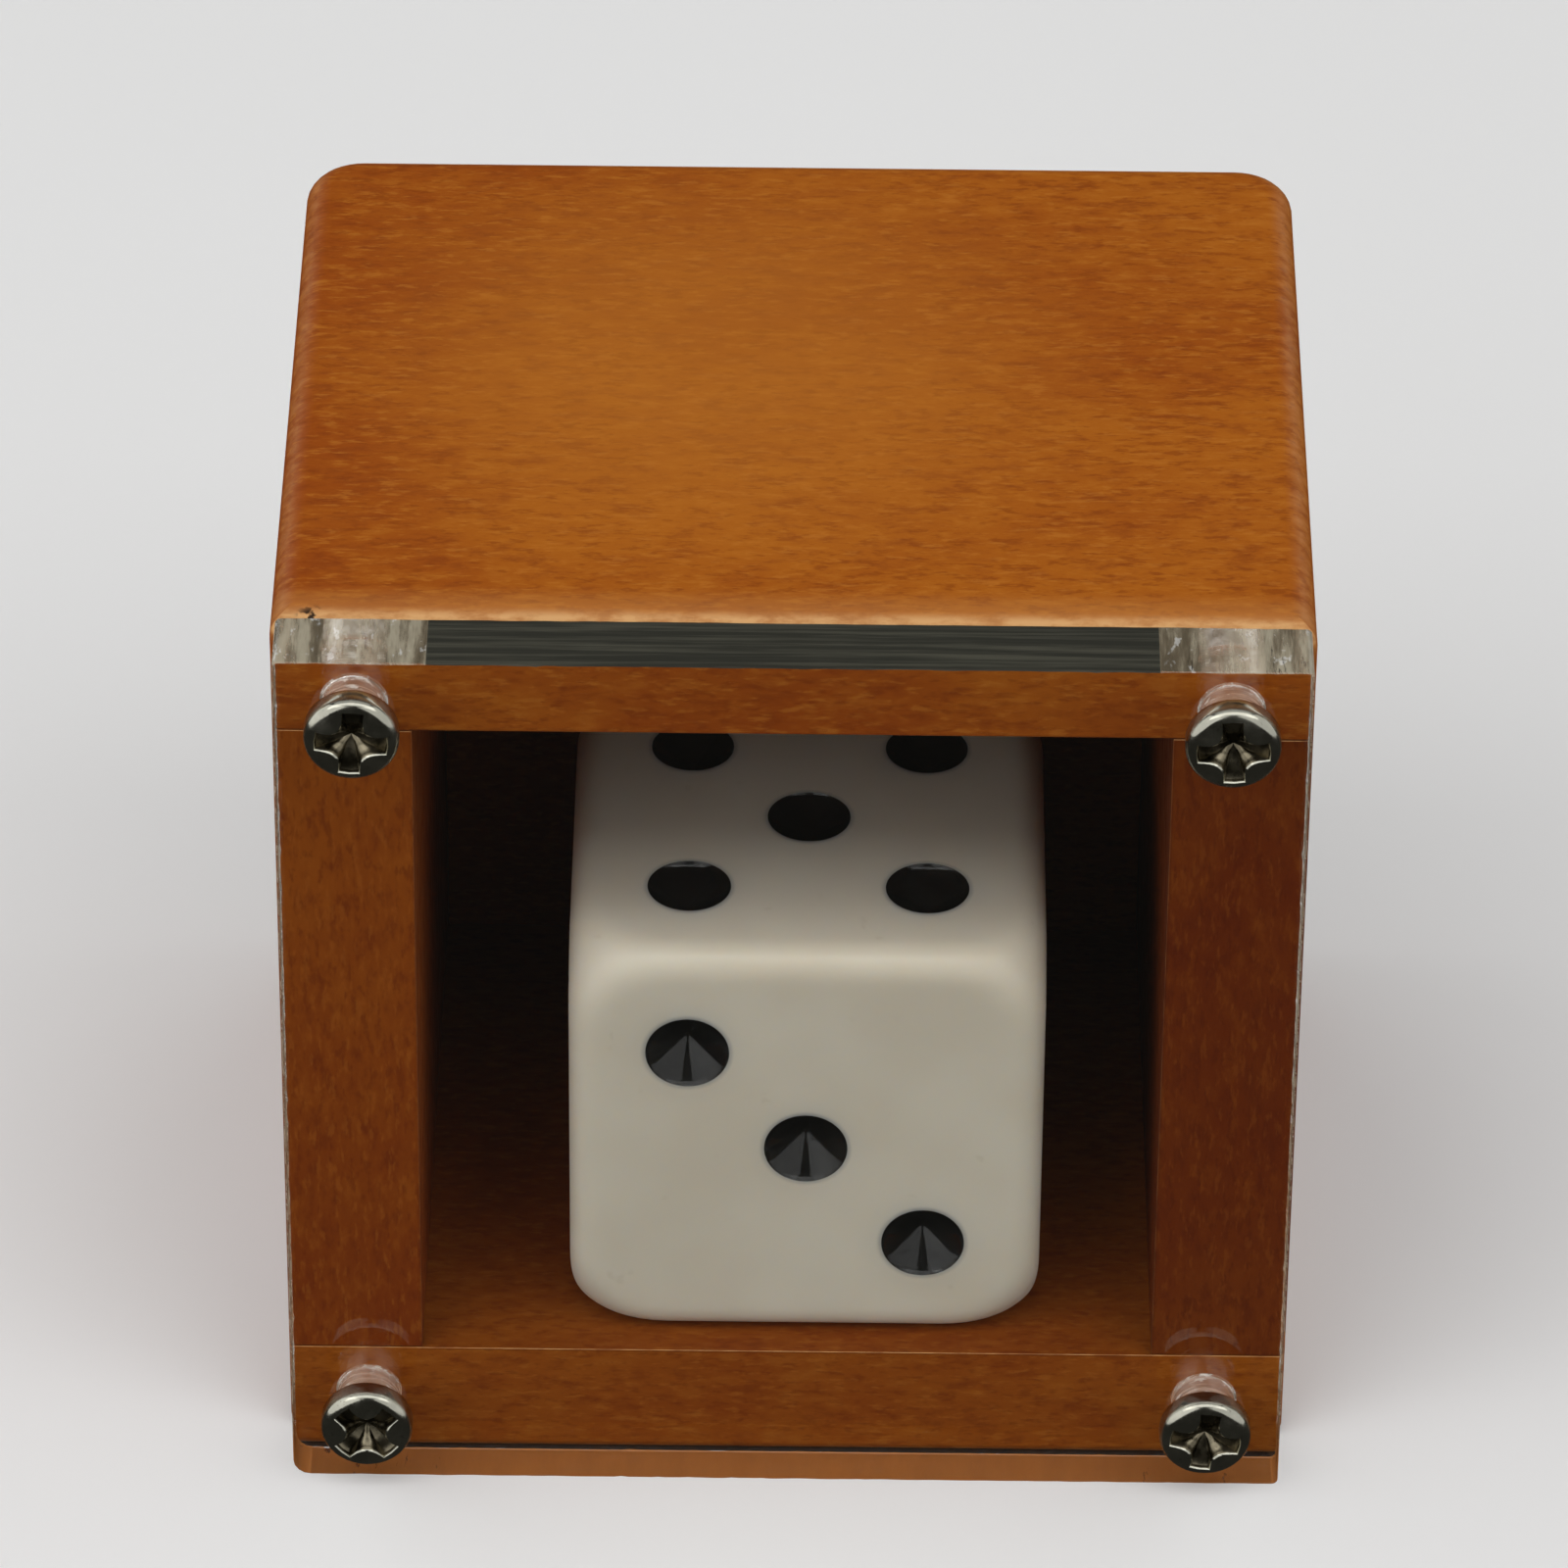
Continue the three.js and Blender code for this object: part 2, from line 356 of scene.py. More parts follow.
# The stain's colours, before a board's own tone; the last is the colour of the painted shade inside
# the chamber.
STAIN_RED = (0.27, 0.053, 0.0024)
STAIN_GOLD = (0.375, 0.104, 0.0062)
STAIN_DARK = (0.195, 0.034, 0.0014)
STAIN_LIGHT = (0.47, 0.16, 0.019)
CHAMBER_PAINTED_SHADE = (0.08, 0.014, 0.001)

# Colours of wear, the first two partly painted highlight, which the tone leaves as they are.
WORN_AND_HIGHLIGHT_COLOUR = colour(0.64, 0.35, 0.14)
FRONT_WEAR_AND_HIGHLIGHT_COLOUR = colour(0.55, 0.25, 0.075)
SCUFF_COLOUR = colour(0.03, 0.014, 0.005)


def edge_wear_and_highlight(nodes):
    """0 on flat faces and up to 1 at the middle of a rounded edge: wear on every edge, most at the
    top front edge, where it is partly painted highlight.
    """
    normal = nodes.object_normal()
    x, y, z = [nodes.axis(normal, axis) for axis in "XYZ"]
    sides = [nodes.math("ABSOLUTE", side) for side in (x, y, z)]
    flatness = nodes.math("MAXIMUM", nodes.math("MAXIMUM", sides[0], sides[1]), sides[2])
    rounded = nodes.span(flatness, 0.985, 0.8)
    front_top = nodes.math("MULTIPLY", nodes.span(y, -0.1, -0.4), nodes.span(z, 0.1, 0.4))
    return nodes.math("MULTIPLY", rounded, nodes.span(front_top, 0.0, 1.0, 0.16, 1.0))


def in_chamber(nodes, point):
    """1 on the faces that line the die chamber and 0 on the outside of the box."""
    floor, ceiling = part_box("bottom_board")[1].z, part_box("top_board")[0].z
    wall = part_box("right_board")[0].x
    near, far = 0.04 * MM, 0.12 * MM
    x = nodes.math("ABSOLUTE", nodes.axis(point, "X"))
    z = nodes.axis(point, "Z")
    mask = nodes.span(x, wall + far, wall + near)
    mask = nodes.math("MULTIPLY", mask, nodes.span(z, floor - far, floor - near))
    return nodes.math("MULTIPLY", mask, nodes.span(z, ceiling + far, ceiling + near))


def front_wear_and_highlight(nodes, point):
    """How much of a paler colour, partly wear and partly painted highlight, shows in a strip of the
    top face behind its front edge.
    """
    low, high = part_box("top_board")
    y, z = nodes.axis(point, "Y"), nodes.axis(point, "Z")
    near_front = nodes.span(y, low.y + 2.4 * MM, low.y + 0.8 * MM, 0.0, 0.3)
    on_top = nodes.span(z, high.z - 1.2 * MM, high.z - 0.5 * MM)
    return nodes.math("MULTIPLY", near_front, on_top)


def wood_material(name, grain, seed, tone, chamber_painted_shade, scuff=None, pale_spot=None):
    """Orange-brown stained, close-grained wood with its grain along one axis.

    tone scales the stain's red, green and blue. The shade argument after it says how much painted
    shade darkens the chamber side.
    """
    material = bpy.data.materials.new(name)
    nodes = Nodes(material)
    point = nodes.object_point()
    shift = (seed * 3.7, seed * 1.3, seed * 2.1)

    def stretched(along, across, extra=0.0):
        scale = [across] * 3
        scale["XYZ".index(grain)] = along
        return nodes.scaled(point, scale, tuple(part + extra for part in shift))

    def stain(r, g, b):
        return colour(*(part * level for part, level in zip((r, g, b), tone)))

    cloud = nodes.noise(stretched(40, 62), detail=2, roughness=0.45)
    patch = nodes.noise(stretched(260, 460), detail=3, roughness=0.6)
    mottle = nodes.noise(stretched(620, 1500), detail=4, roughness=0.65)
    light_fleck = nodes.noise(stretched(1050, 3800, 5.0), detail=3, roughness=0.6)
    dark_fleck = nodes.noise(stretched(1100, 3600, 11.0), detail=3, roughness=0.6)

    red, gold, dark, light = [
        stain(*part) for part in (STAIN_RED, STAIN_GOLD, STAIN_DARK, STAIN_LIGHT)]
    field = nodes.weighted((cloud, 0.75), (patch, 0.25))
    base = nodes.mix(nodes.span(field, 0.33, 0.66), red, gold)
    base = nodes.mix(nodes.span(mottle, 0.5, 0.3, 0.0, 0.5), base, dark)
    base = nodes.mix(nodes.span(mottle, 0.5, 0.72, 0.0, 0.35), base, light)
    base = nodes.mix(nodes.span(dark_fleck, 0.52, 0.66, 0.0, 0.5), base, dark)
    base = nodes.mix(nodes.span(light_fleck, 0.53, 0.68, 0.0, 0.45), base, light)
    if pale_spot:
        # The top is made paler towards a spot behind its middle.
        away = nodes.distance_to(point, pale_spot)
        base = nodes.mix(nodes.span(away, 19 * MM, 3 * MM, 0.0, 0.46), base, light)
        # A paler strip behind the top front edge, partly wear and partly painted highlight.
        base = nodes.mix(front_wear_and_highlight(nodes, point), base, FRONT_WEAR_AND_HIGHLIGHT_COLOUR)
    # Painted shade: the faces lining the chamber are darkened towards a dark stain colour.
    shade = nodes.math("MULTIPLY", in_chamber(nodes, point), chamber_painted_shade)
    base = nodes.mix(shade, base, stain(*CHAMBER_PAINTED_SHADE))
    rubbed = nodes.span(mottle, 0.36, 0.62, 0.35, 1.0)
    # Wear on the rounded edges, strongest at the top front edge, where it is partly painted
    # highlight.
    worn = nodes.math("MULTIPLY", edge_wear_and_highlight(nodes), rubbed)
    base = nodes.mix(worn, base, WORN_AND_HIGHLIGHT_COLOUR)
    if scuff:
        near = nodes.span(nodes.distance_to(point, scuff), 0.75 * MM, 0.25 * MM)
        crumbs = nodes.span(nodes.noise(point, scale=2600, detail=2), 0.5, 0.6)
        base = nodes.mix(nodes.math("MULTIPLY", near, crumbs), base, SCUFF_COLOUR)

    height = nodes.weighted((mottle, 0.5), (light_fleck, 0.4))
    height = nodes.math("SUBTRACT", height, nodes.math("MULTIPLY", dark_fleck, 0.5))
    bump = nodes.bump(height, 0.02 * MM, 0.7)
    roughness = nodes.span(mottle, 0.3, 0.7, 0.6, 0.44)
    shader = nodes.principled(
        Base_Color=base, Roughness=roughness, Normal=bump, Specular_IOR_Level=0.11)
    nodes.finish(shader.outputs[0])
    return material


ACRYLIC_IOR = 1.49


def let_light_through(nodes, surface):
    """Let lamp light and light scattered by matt pieces pass straight through clear sheet."""
    path = nodes.add("ShaderNodeLightPath")
    for ray in ("Is Diffuse Ray", "Is Shadow Ray"):
        mix = nodes.add("ShaderNodeMixShader")
        nodes.link(path.outputs[ray], mix.inputs[0])
        nodes.link(surface, mix.inputs[1])
        nodes.link(nodes.add("ShaderNodeBsdfTransparent").outputs[0], mix.inputs[2])
        surface = mix.outputs[0]
    nodes.finish(surface)


def clear_sheet(nodes):
    return nodes.principled(
        Base_Color=colour(0.985, 0.99, 0.985), IOR=ACRYLIC_IOR, Transmission_Weight=1.0,
        Roughness=0.0)


def scatter_over(nodes, surface, share, tint):
    """Cover part of a clear surface with a matt, broken layer."""
    matt = nodes.add("ShaderNodeBsdfDiffuse")
    nodes.put(matt.inputs["Color"], tint)
    mix = nodes.add("ShaderNodeMixShader")
    nodes.put(mix.inputs[0], share)
    nodes.link(surface, mix.inputs[1])
    nodes.link(matt.outputs[0], mix.inputs[2])
    return mix.outputs[0]


def clear_material(name):
    """Polished clear acrylic."""
    material = bpy.data.materials.new(name)
    nodes = Nodes(material)
    let_light_through(nodes, clear_sheet(nodes).outputs[0])
    return material


def sawn_material(name, end_x):
    """Sawn acrylic edge: saw lines along it; painted shade in the middle; crazed and pale past
    end_x, partly painted light from the lit wood behind; brown at the bottom as a painted
    reflection of the wood.
    """
    material = bpy.data.materials.new(name)
    nodes = Nodes(material)
    point = nodes.object_point()
    x = nodes.math("ABSOLUTE", nodes.axis(point, "X"))
    z = nodes.axis(point, "Z")
    at_end = nodes.span(x, end_x, end_x + 0.08 * MM)
    # 1 at the bottom of the edge, which is painted brown as a painted reflection of the wood rail.
    low = nodes.span(z, 3 * MM, 1.5 * MM)
    along = nodes.math("ADD", nodes.axis(point, "X"), z)
    edge_point = nodes.vector(along, nodes.axis(point, "Y"), 0.0)
    lines = nodes.noise(nodes.scaled(edge_point, (70, 2600, 1)), detail=4, roughness=0.7)
    crosswise = nodes.noise(nodes.scaled(edge_point, (1100, 150, 1)), detail=4, roughness=0.7)
    torn = nodes.scaled(edge_point, (1700, 800, 1), (2, 0, 0))
    torn = nodes.noise(torn, detail=3, roughness=0.65)
    crack = nodes.scaled(edge_point, (1900, 260, 1), (4, 0, 0))
    crack = nodes.noise(crack, detail=4, roughness=0.65)
    # The middle of the edge is nearly all matt and dark: painted shade where only the dark chamber
    # lies behind it.
    share = nodes.mix(at_end, nodes.span(lines, 0.38, 0.7, 0.98, 0.93),
                      nodes.span(crosswise, 0.34, 0.64, 0.26, 0.58))
    share = nodes.mix(low, share, nodes.span(crosswise, 0.3, 0.7, 0.85, 0.95))
    cracked = nodes.math("MULTIPLY", at_end, nodes.span(crack, 0.6, 0.66, 0.0, 0.9))
    share = nodes.mix(cracked, share, grey(0.05))
    crazed = nodes.span(crosswise, 0.38, 0.62)
    tint = nodes.mix(crazed, colour(0.36, 0.29, 0.19), colour(0.56, 0.5, 0.37))
    pale = nodes.math("MULTIPLY", nodes.span(torn, 0.59, 0.66), at_end)
    tint = nodes.mix(pale, tint, colour(0.92, 0.89, 0.82))
    # Painted shade: the saw lines in the middle of the edge are dark.
    shaded_streaks = nodes.mix(
        nodes.span(lines, 0.4, 0.68), colour(0.03, 0.03, 0.024), colour(0.07, 0.068, 0.052))
    tint = nodes.mix(at_end, shaded_streaks, tint)
    # Painted reflection: the bottom of the edge takes the brown of the wood.
    tint = nodes.mix(low, tint, colour(0.42, 0.155, 0.04))
    glass = clear_sheet(nodes)
    height = nodes.math("ADD", lines, nodes.math("MULTIPLY", crosswise, at_end))
    nodes.put(glass.inputs["Normal"], nodes.bump(height, 0.04 * MM, 0.7))
    nodes.put(glass.inputs["Roughness"], nodes.span(lines, 0.3, 0.7, 0.06, 0.2))
    let_light_through(nodes, scatter_over(nodes, glass.outputs[0], share, tint))
    return material


def drilled_material(name):
    """The wall of a drilled hole in acrylic: turned rings, torn and whitish in places, brownish
    elsewhere as a painted reflection of the wood.
    """
    material = bpy.data.materials.new(name)
    nodes = Nodes(material)
    point = nodes.object_point()
    rings = nodes.noise(nodes.scaled(point, (350, 2600, 350)), detail=3, roughness=0.65)
    torn = nodes.noise(point, scale=1500, detail=3, roughness=0.6)
    share = nodes.span(rings, 0.42, 0.7, 0.16, 0.42)
    share = nodes.mix(nodes.span(torn, 0.56, 0.66, 0.0, 0.8), share, grey(0.7))
    # The brownish tint is a painted reflection of the wood round the hole; the whitish one is the
    # torn wall.
    tint = nodes.mix(nodes.span(torn, 0.5, 0.66), colour(0.62, 0.45, 0.33), colour(0.8, 0.77, 0.7))
    glass = clear_sheet(nodes)
    height = nodes.math("ADD", rings, torn)
    nodes.put(glass.inputs["Normal"], nodes.bump(height, 0.05 * MM, 0.8))
    nodes.put(glass.inputs["Roughness"], nodes.span(rings, 0.3, 0.7, 0.1, 0.35))
    let_light_through(nodes, scatter_over(nodes, glass.outputs[0], share, tint))
    return material


def nickel_material(name, light, dull, roughness_low, roughness_high):
    """Nickel-plated steel with faint marks and dull patches."""
    material = bpy.data.materials.new(name)
    nodes = Nodes(material)
    point = nodes.object_point()
    patch = nodes.noise(point, scale=900, detail=3, roughness=0.6)
    grit = nodes.noise(point, scale=5200, detail=2, roughness=0.6)
    base = nodes.mix(nodes.span(patch, 0.35, 0.7), dull, light)
    base = nodes.mix(nodes.span(grit, 0.62, 0.75, 0.0, 0.5), base, colour(0.12, 0.1, 0.07))
    roughness = nodes.span(patch, 0.3, 0.75, roughness_low, roughness_high)
    shader = nodes.principled(
        Base_Color=base, Metallic=1.0, Roughness=roughness,
        Normal=nodes.bump(grit, 0.006 * MM, 0.6))
    nodes.finish(shader.outputs[0])
    return material


def ivory_material(name, pip_centres):
    """Ivory-white moulded plastic, polished, with painted shade beside the painted pips, where
    light inside the plastic is lost into the black paint.
    """
    material = bpy.data.materials.new(name)
    nodes = Nodes(material)
    point = nodes.object_point()
    nearest = nodes.distance_to(point, pip_centres[0])
    for centre in pip_centres[1:]:
        nearest = nodes.math("MINIMUM", nearest, nodes.distance_to(point, centre))
    cloud = nodes.noise(point, scale=160, detail=3)
    speck = nodes.noise(point, scale=1300, detail=2)
    base = nodes.mix(
        nodes.span(cloud, 0.3, 0.7), colour(0.72, 0.655, 0.53), colour(0.76, 0.705, 0.585))
    base = nodes.mix(nodes.span(speck, 0.68, 0.78, 0.0, 0.2), base, colour(0.5, 0.42, 0.3))
    # Painted shade round the pips: a wide faint grey and a narrow darker ring.
    wide = nodes.span(nearest, PIP_RADIUS + 1.2 * MM, PIP_RADIUS, 0.0, 0.14)
    close = nodes.span(nearest, PIP_RADIUS + 0.28 * MM, PIP_RADIUS - 0.02 * MM, 0.0, 0.6)
    base = nodes.mix(wide, base, colour(0.42, 0.45, 0.46))
    base = nodes.mix(close, base, colour(0.16, 0.18, 0.2))
    shader = nodes.principled(
        Base_Color=base, Roughness=nodes.span(cloud, 0.3, 0.7, 0.3, 0.42), IOR=1.49,
        Subsurface_Weight=0.9, Subsurface_Radius=(1.0, 0.85, 0.65), Subsurface_Scale=0.9 * MM,
        Normal=nodes.bump(speck, 0.004 * MM, 0.5))
    nodes.finish(shader.outputs[0])
    return material


def pip_material(name):
    """Gloss black paint in the pips."""
    material = bpy.data.materials.new(name)
    nodes = Nodes(material)
    ripple = nodes.noise(nodes.object_point(), scale=1100, detail=2)
    base = nodes.mix(nodes.span(ripple, 0.3, 0.7), grey(0.004), colour(0.009, 0.009, 0.008))
    shader = nodes.principled(
        Base_Color=base, Roughness=nodes.span(ripple, 0.3, 0.7, 0.05, 0.1),
        Specular_IOR_Level=0.4, Normal=nodes.bump(ripple, 0.012 * MM, 0.5))
    nodes.finish(shader.outputs[0])
    return material


# The window's edges are painted pale past where the side boards end behind them, partly as painted
# light from the lit wood there.
END_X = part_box("right_board")[0].x - 0.7 * MM

pip_paint = pip_material("pip_paint")
nickel = nickel_material(
    "nickel_plate", colour(0.44, 0.43, 0.36), colour(0.35, 0.345, 0.29), 0.12, 0.24)
# Darker nickel for the recess below its chamfer: painted shade.
shaded_recess_nickel = nickel_material(
    "nickel_recess_painted_shade", colour(0.24, 0.21, 0.145), colour(0.09, 0.078, 0.052), 0.2, 0.36)
clear_face = clear_material("clear_acrylic")
sawn_edge = sawn_material("sawn_acrylic", END_X)
drilled_wall = drilled_material("drilled_acrylic")


# ------------------------------------------------------------------ wooden boards

def outer_radii():
    """Radii of the box's outer edges, by the two faces that meet there."""
    radii = {
        frozenset(("top", "front")): TOP_FRONT_RADIUS,
        frozenset(("top", "back")): TOP_BACK_RADIUS,
    }
    for side in ("left", "right"):
        radii[frozenset(("top", side))] = LONG_EDGE_RADIUS
        radii[frozenset((side, "front"))] = FRONT_CORNER_RADIUS
        radii[frozenset((side, "back"))] = BACK_CORNER_RADIUS
    for side in ("front", "back", "left", "right"):
        radii[frozenset(("bottom", side))] = BOTTOM_EDGE_RADIUS
    return radii


# Each board's faces on the outside of the box, its grain, the tone of its stain and how much
# painted shade darkens it inside the chamber.
BOARDS = {
    "top_board": ({"top", "front", "back", "left", "right"}, "X", (1.0, 1.0, 1.0), 0.3),
    "bottom_board": ({"bottom", "front", "back", "left", "right"}, "X", (0.88, 0.84, 0.86), 0.38),
    "left_board": ({"front", "back", "left"}, "Z", (0.74, 0.62, 0.54), 0.2),
    # The right board's darker tone is partly its own and partly painted shade, for the shade its
    # front edge stands in.
    "right_board": ({"front", "back", "right"}, "Z", (0.48, 0.35, 0.28), 0.3),
    "back_board": ({"back"}, "X", (0.8, 0.76, 0.72), 0.1),
}


def pilot_hole(x, z, front_y):
    """The cutter for a blind hole with a drill-point end, entering a board's front face."""
    profile = [(0, -CUTTER_OVERHANG), (PILOT_RADIUS, -CUTTER_OVERHANG),
               (PILOT_RADIUS, PILOT_DEPTH - PILOT_POINT), (0, PILOT_DEPTH)]
    return turned("pilot", profile, 32, (x, front_y, z))


def make_board(name, outside, grain, tone, chamber_painted_shade, seed):
    """One board, rounded only along the edges where two of its outside faces meet."""
    low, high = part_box(name)
    radii = {pair: radius for pair, radius in outer_radii().items() if pair <= outside}
    board = rounded_block(name + "_piece", low, high, radii, SEAM_RADIUS)
    if name in ("top_board", "bottom_board"):
        plate_low, plate_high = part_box("window_plate")
        x = plate_high.x - SCREW_INSET
        z = plate_high.z - SCREW_INSET if name == "top_board" else plate_low.z + SCREW_INSET
        cut(board, [pilot_hole(-x, z, low.y), pilot_hole(x, z, low.y)])
    scuff, pale_spot = None, None
    if name == "top_board":
        # A dark scuff near the front left corner, and the top made paler round a spot behind the
        # middle.
        scuff = (low.x + 1.6 * MM, low.y + 0.4 * MM, high.z - 0.35 * MM)
        pale_spot = (-3 * MM, low.y + 19 * MM, high.z)
    # The cut for the pilot holes may have left an empty slot.
    board.data.materials.clear()
    board.data.materials.append(
        wood_material("stained_" + name, grain, seed, tone, chamber_painted_shade, scuff, pale_spot))
    smooth(board, 40)
    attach(board, "box")
    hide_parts(name)


for number, (node, (outside, grain, tone, chamber_painted_shade)) in enumerate(BOARDS.items()):
    make_board(node, outside, grain, tone, chamber_painted_shade, number + 1)


# ------------------------------------------------------------------ clear window

PLATE_CORNER = 0.25 * MM
PLATE_WORN_CORNER = 0.7 * MM
EDGE_STEP = 0.3 * MM


def on_arc(corner, turn):
    """A point on one of the plate's round corners, a turn on from where the corner starts."""
    x, z, radius, start = corner
    return (x + radius * math.cos(start + turn), z + radius * math.sin(start + turn))


def plate_outline(low, high):
    """Points round the plate's outline in X and Z, closely spaced, with small round corners."""
    small, worn = PLATE_CORNER, PLATE_WORN_CORNER
    corners = [
        (high.x - small, low.z + small, small, -math.pi / 2),
        (high.x - small, high.z - small, small, 0.0),
        (low.x + small, high.z - small, small, math.pi / 2),
        (low.x + worn, low.z + worn, worn, math.pi),
    ]
    points = []
    for index, corner in enumerate(corners):
        points += [on_arc(corner, step * math.pi / 8) for step in range(5)]
        end = points[-1]
        begin = on_arc(corners[(index + 1) % 4], 0.0)
        steps = round(math.dist(begin, end) / EDGE_STEP)
        for step in range(1, steps):
            t = step / steps
            points.append((end[0] + (begin[0] - end[0]) * t, end[1] + (begin[1] - end[1]) * t))
    return points


def chip(x, z, side):
    """The width of the broken edge at one place: mostly fine, with a few larger chips."""
    fine = noise.noise(Vector((x, side, z)) * 900)
    coarse = noise.noise(Vector((x + side, 3.0, z)) * 2600)
    return (0.045 + 0.03 * fine + 0.12 * max(0.0, coarse - 0.25)) * MM


def plate_mesh(low, high):
    """The plate with two polished faces (material 0) and sawn edges with broken arrises (1)."""
    outline = plate_outline(low, high)
    middle_x = (low.x + high.x) / 2
    middle_z = (low.z + high.z) / 2

    def inset(x, z, amount):
        reach = max(abs(x - middle_x), abs(z - middle_z))
        return (x - (x - middle_x) * amount / reach, z - (z - middle_z) * amount / reach)

    bm = bmesh.new()
    rings = []
    for side, y, toward in (("front", low.y, 1), ("back", high.y, -1)):
        face_ring = []
        edge_ring = []
        for x, z in outline:
            width = chip(x, z, 0.0 if side == "front" else 7.0)
            ix, iz = inset(x, z, width)
            face_ring.append(bm.verts.new((ix, y, iz)))
            edge_ring.append(bm.verts.new((x, y + toward * width, z)))
        rings.append((face_ring, edge_ring))
    (front_face, front_edge), (back_face, back_edge) = rings
    count = len(outline)

    def strip(a, b, material_index):
        for i in range(count):
            j = (i + 1) % count
            bm.faces.new((a[i], a[j], b[j], b[i])).material_index = material_index

    strip(front_face, front_edge, 1)
    strip(front_edge, back_edge, 1)
    strip(back_edge, back_face, 1)
    bm.faces.new(front_face).material_index = 0
    bm.faces.new(list(reversed(back_face))).material_index = 0
    mesh = bpy.data.meshes.new("window_piece")
    bm.to_mesh(mesh)
    bm.free()
    return mesh


def bore_profile(thickness):
    """(radius, y) points of a hole through the plate, its two mouths slightly broken."""
    lip, past = 0.08 * MM, 0.5 * MM
    hole, mouth = WINDOW_HOLE_RADIUS, WINDOW_HOLE_RADIUS + lip
    return [
        (0, -past), (mouth + past, -past), (mouth, 0), (hole, lip), (hole, thickness - lip),
        (mouth, thickness), (mouth + past, thickness + past), (0, thickness + past)]


def make_window():
    low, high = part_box("window_plate")
    plate = mesh_object("window_piece", plate_mesh(low, high))
    face_outward(plate)
    plate.data.materials.append(clear_face)
    plate.data.materials.append(sawn_edge)
    profile = bore_profile(high.y - low.y)
    x = high.x - SCREW_INSET
    cutters = []
    for sx in (-x, x):
        for sz in (low.z + SCREW_INSET, high.z - SCREW_INSET):
            cutters.append(turned("bore", profile, 56, (sx, low.y, sz), drilled_wall))
    cut(plate, cutters)
    smooth(plate, 25)
    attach(plate, "window")
    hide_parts("window_plate")


make_window()


# ------------------------------------------------------------------ screws

HEAD_HEIGHT = 1.25 * MM
HEAD_RADIUS = 1.85 * MM
CORE_RADIUS = 0.72 * MM
THREAD_RADIUS = 0.99 * MM
THREAD_PITCH = 0.7 * MM
CREST_HALF_WIDTH = 0.26
SHANK_LENGTH = 8.0 * MM
TIP_LENGTH = 1.9 * MM
# Under the head the shank is a plain neck, and the thread runs in from there.
NECK_RADIUS = 0.98 * MM
THREAD_START = 0.9 * MM
THREAD_RUN_IN = 0.8 * MM
SCREW_SEGMENTS = 64
THREAD_ROWS = 110

# The recess at rising depths, in mm: depth below the crown, wing reach, wing half width and
# half width at the waist. The first rows flare out as a chamfer round the mouth.
RECESS_LEVELS = (
    (-0.25, 1.58, 0.6, 0.8),
    (-0.07, 1.46, 0.48, 0.64),
    (0.06, 1.36, 0.38, 0.54),
    (0.2, 1.33, 0.36, 0.5),
    (0.3, 1.24, 0.33, 0.46),
    (0.38, 1.06, 0.3, 0.42),
    (0.46, 0.84, 0.25, 0.36),
    (0.58, 0.62, 0.2, 0.29),
    (0.74, 0.42, 0.15, 0.21),
)
CHAMFER_ROWS = 2
RECESS_DEPTH = 0.9 * MM
STAR_CURVE_STEPS = 9

# The domed crown, and the rim's arc that carries on from it.
CROWN_RADIUS = 1.54 * MM
CROWN_DROP = 0.23 * MM
CROWN_STEPS = 8
RIM_RADIUS = 0.42 * MM
RIM_START = math.radians(16)
RIM_STEPS = 10


def crown_y(radius):
    """The height of the domed crown at one radius."""
    return -HEAD_HEIGHT + CROWN_DROP * (radius / CROWN_RADIUS) ** 2


def head_profile():
    """(radius, y) points from the crown's middle round the rim to the shank."""
    points = [(0, -HEAD_HEIGHT)]
    for step in range(1, CROWN_STEPS + 1):
        radius = CROWN_RADIUS * step / CROWN_STEPS
        points.append((radius, crown_y(radius)))
    rim_y = crown_y(CROWN_RADIUS) + RIM_RADIUS * math.cos(RIM_START)
    for step in range(1, RIM_STEPS + 1):
        angle = RIM_START + step / RIM_STEPS * (math.pi / 2 - RIM_START)
        radius = HEAD_RADIUS - RIM_RADIUS * (1 - math.sin(angle))
        points.append((radius, rim_y - RIM_RADIUS * math.cos(angle)))
    return points + [
        (HEAD_RADIUS, -0.12 * MM),
        (HEAD_RADIUS - 0.03 * MM, -0.04 * MM),
        (HEAD_RADIUS - 0.12 * MM, -0.005 * MM),
        (1.1 * MM, -0.005 * MM),
        (NECK_RADIUS, 0.1 * MM)]


def thread_radius(angle, y):
    """The thread's radius at one place on the shank: sharp crests, wide round roots."""
    phase = (y / THREAD_PITCH - angle / FULL_TURN) % 1.0
    crest = max(0.0, 1.0 - abs(phase - 0.5) / CREST_HALF_WIDTH)
    start = min(1.0, max(0.0, (y - THREAD_START) / THREAD_RUN_IN))
    end = min(1.0, (SHANK_LENGTH - y) / TIP_LENGTH)
    if start < 1:
        core = CORE_RADIUS + (NECK_RADIUS - CORE_RADIUS) * (1 - start)
    else:
        core = CORE_RADIUS * max(0.04, end ** 0.8)
    return core + (THREAD_RADIUS - CORE_RADIUS) * crest * start * min(1.0, 0.25 + end)


